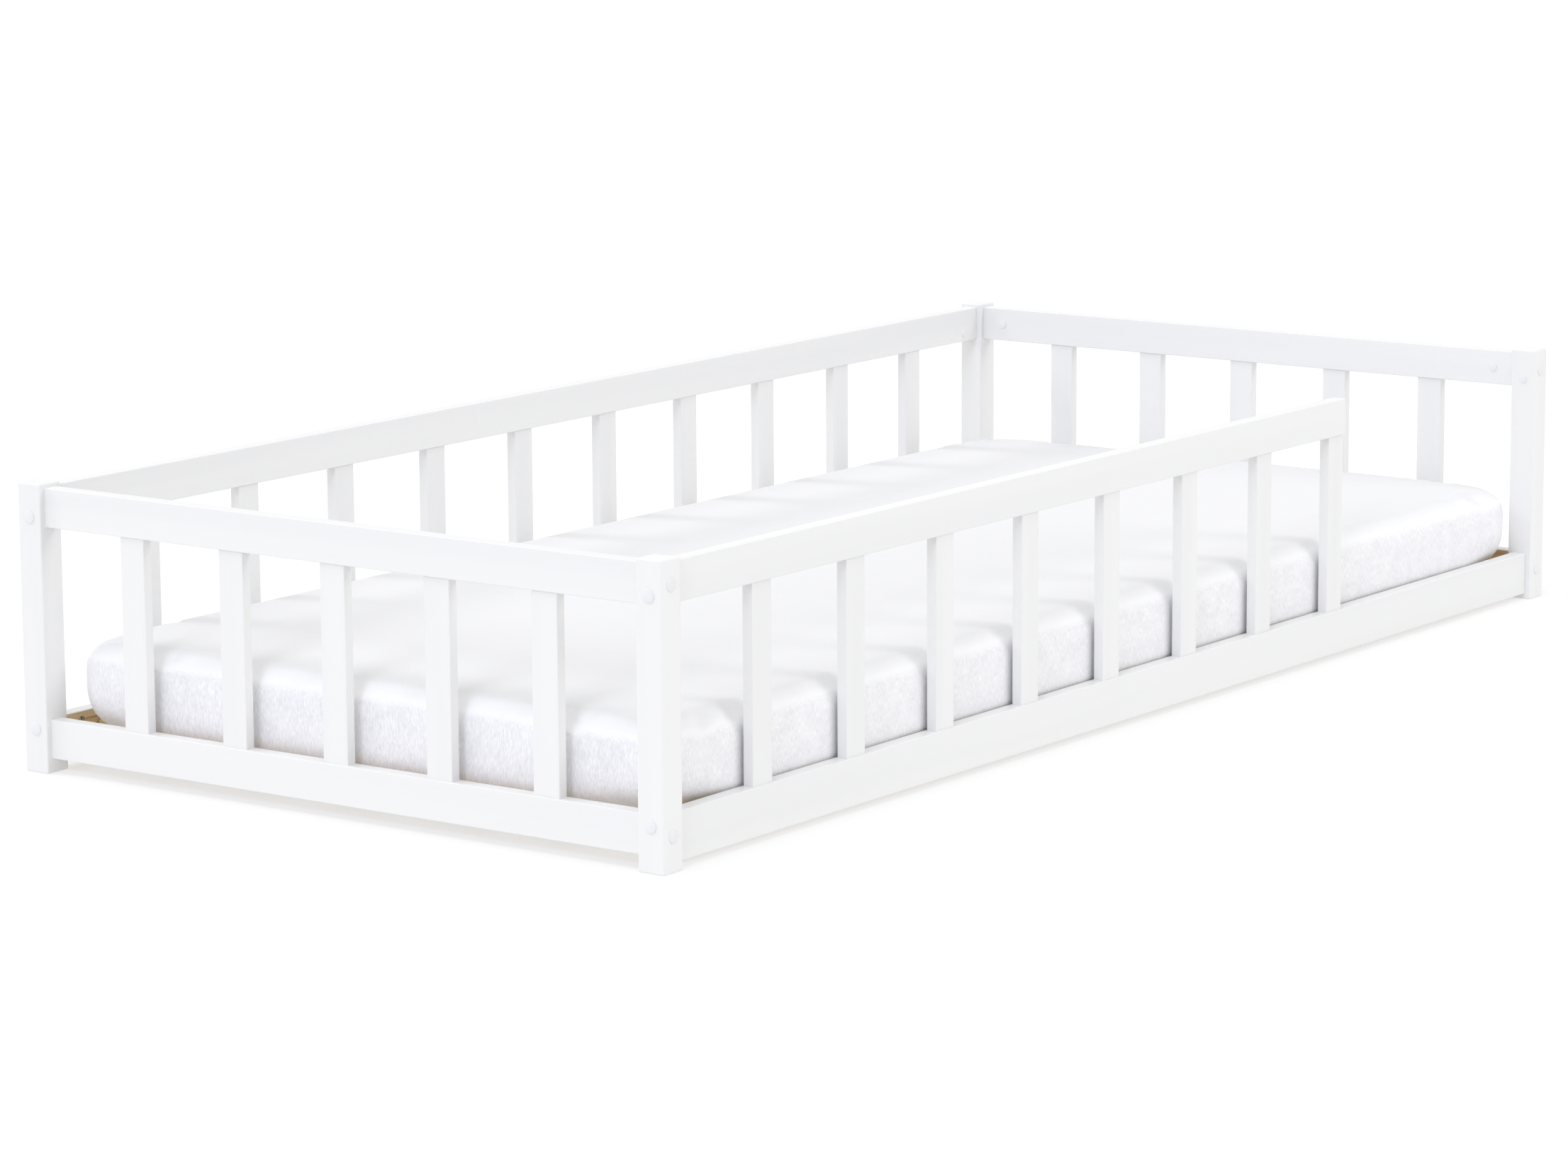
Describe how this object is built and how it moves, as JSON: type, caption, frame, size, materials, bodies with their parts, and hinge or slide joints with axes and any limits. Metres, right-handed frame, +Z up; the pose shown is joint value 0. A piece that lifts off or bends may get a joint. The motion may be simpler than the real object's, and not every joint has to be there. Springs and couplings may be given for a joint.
{
  "type": "toddler bed",
  "caption": "Low white timber floor bed for a toddler: baluster fence all round, open entry at one end of the front side, slatted base and a lift-out mattress in a terry sheet.",
  "frame": {"origin": "on the floor under the middle of the bed: the middle of the bottom of the whole object's box", "axes": "+X along the bed to the head end, where the entry is; -Y to the front side, which has the entry; +Y to the back side; +Z up"},
  "size_m": [2.07, 0.97, 0.355],
  "materials": {
    "white_lacquer": "satin white lacquer on planed softwood",
    "bare_pine": "planed, unfinished",
    "terry_sheet": "soft cotton terry, matt",
    "cap_plastic": "moulded satin white cover caps",
    "zinc_steel": "zinc plated bolts, barrel nuts and screws"
  },
  "bodies": {
    "bed_frame": {"post_foot_front": "white_lacquer", "post_foot_back": "white_lacquer", "post_head_front": "white_lacquer", "post_head_back": "white_lacquer", "top_rail_foot": "white_lacquer", "bottom_rail_foot": "white_lacquer", "baluster_foot_1": "white_lacquer", "baluster_foot_2": "white_lacquer", "baluster_foot_3": "white_lacquer", "baluster_foot_4": "white_lacquer", "baluster_foot_5": "white_lacquer", "top_rail_head": "white_lacquer", "bottom_rail_head": "white_lacquer", "baluster_head_1": "white_lacquer", "baluster_head_2": "white_lacquer", "baluster_head_3": "white_lacquer", "baluster_head_4": "white_lacquer", "baluster_head_5": "white_lacquer", "top_rail_back": "white_lacquer", "bottom_rail_back": "white_lacquer", "baluster_back_01": "white_lacquer", "baluster_back_02": "white_lacquer", "baluster_back_03": "white_lacquer", "baluster_back_04": "white_lacquer", "baluster_back_05": "white_lacquer", "baluster_back_06": "white_lacquer", "baluster_back_07": "white_lacquer", "baluster_back_08": "white_lacquer", "baluster_back_09": "white_lacquer", "baluster_back_10": "white_lacquer", "guard_rail_front": "white_lacquer", "bottom_rail_front": "white_lacquer", "baluster_front_01": "white_lacquer", "baluster_front_02": "white_lacquer", "baluster_front_03": "white_lacquer", "baluster_front_04": "white_lacquer", "baluster_front_05": "white_lacquer", "baluster_front_06": "white_lacquer", "baluster_front_07": "white_lacquer", "baluster_front_08": "white_lacquer", "ledger_front": "bare_pine", "ledger_back": "bare_pine", "slat_01": "bare_pine", "slat_02": "bare_pine", "slat_03": "bare_pine", "slat_04": "bare_pine", "slat_05": "bare_pine", "slat_06": "bare_pine", "slat_07": "bare_pine", "slat_08": "bare_pine", "slat_09": "bare_pine", "slat_10": "bare_pine", "slat_11": "bare_pine", "slat_12": "bare_pine", "slat_13": "bare_pine", "slat_14": "bare_pine"},
    "mattress": {"mattress": "terry_sheet"}
  },
  "joints": [
    {"name": "mattress_lift", "type": "slide", "parent": "bed_frame", "child": "mattress", "axis": [0, 0, 1], "range_m": [0, 0.4]}
  ]
}
